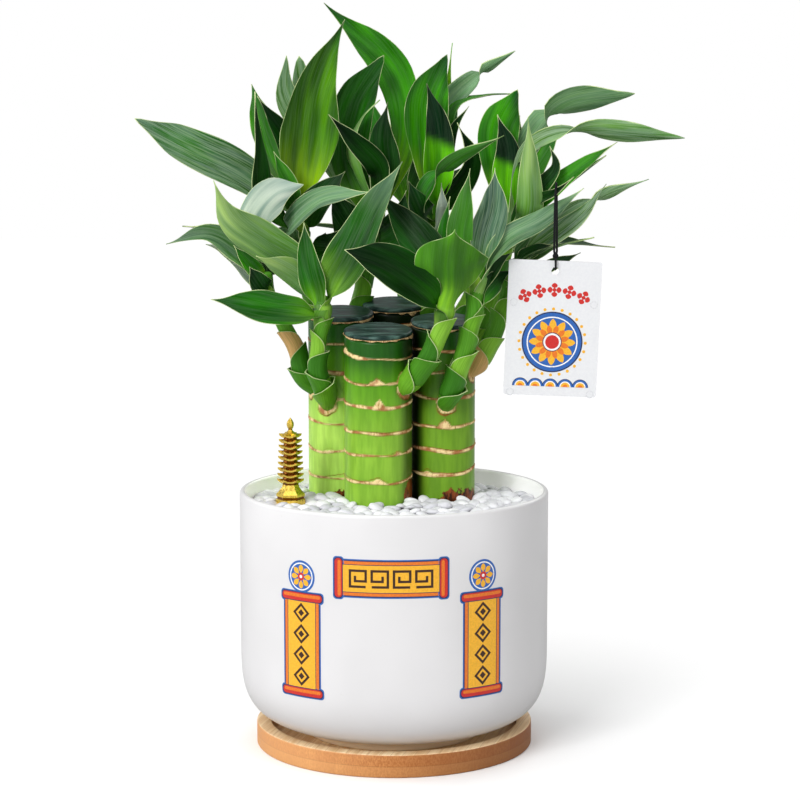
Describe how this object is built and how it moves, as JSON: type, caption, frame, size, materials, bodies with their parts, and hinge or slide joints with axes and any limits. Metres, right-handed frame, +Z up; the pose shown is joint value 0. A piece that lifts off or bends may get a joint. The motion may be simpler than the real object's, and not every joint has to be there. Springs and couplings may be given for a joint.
{
  "type": "lucky bamboo in a pot",
  "caption": "Potted lucky bamboo: thick canes with sealed tops and leafy shoots in a round ceramic pot with pebbles, on a wooden saucer, with a small tower ornament and a hanging card.",
  "frame": {"origin": "centre of the saucer's flat underside", "axes": "+Z up along the pot's axis; -Y towards the front, the side that the picture shows"},
  "size_m": [0.2644, 0.2072, 0.3604],
  "materials": {
    "bamboo_wood": "oiled bamboo with fine grain",
    "glaze": "white glazed ceramic",
    "soil": "damp potting soil",
    "pebble": "smooth pale grey stone",
    "cane": "living green cane, waxy, with tan ring scars",
    "wax": "dark green sealing wax",
    "leaf": "living green leaf, softly glossy",
    "gilt": "bright gold plating",
    "card": "coated white card",
    "cord": "fine black braid"
  },
  "bodies": {
    "root": {"saucer": "bamboo_wood", "pot": "glaze", "soil": "soil", "pebbles": "pebble", "cane_front": "cane", "wax_front": "wax", "cane_left": "cane", "wax_left": "wax", "cane_back": "cane", "wax_back": "wax", "cane_right": "cane", "wax_right": "wax", "shoot_left_front": "leaf", "shoot_left_side": "leaf", "shoot_left_back": "leaf", "shoot_back_left": "leaf", "shoot_back_right": "leaf", "shoot_front_right": "leaf", "shoot_right_front": "leaf", "shoot_right_side": "leaf", "shoot_right_back": "leaf", "shoot_far_back": "leaf", "shoot_far_right": "leaf", "pagoda": "gilt", "tag": "card", "tag_cord": "cord", "cord_knot": "cord"}
  },
  "joints": []
}
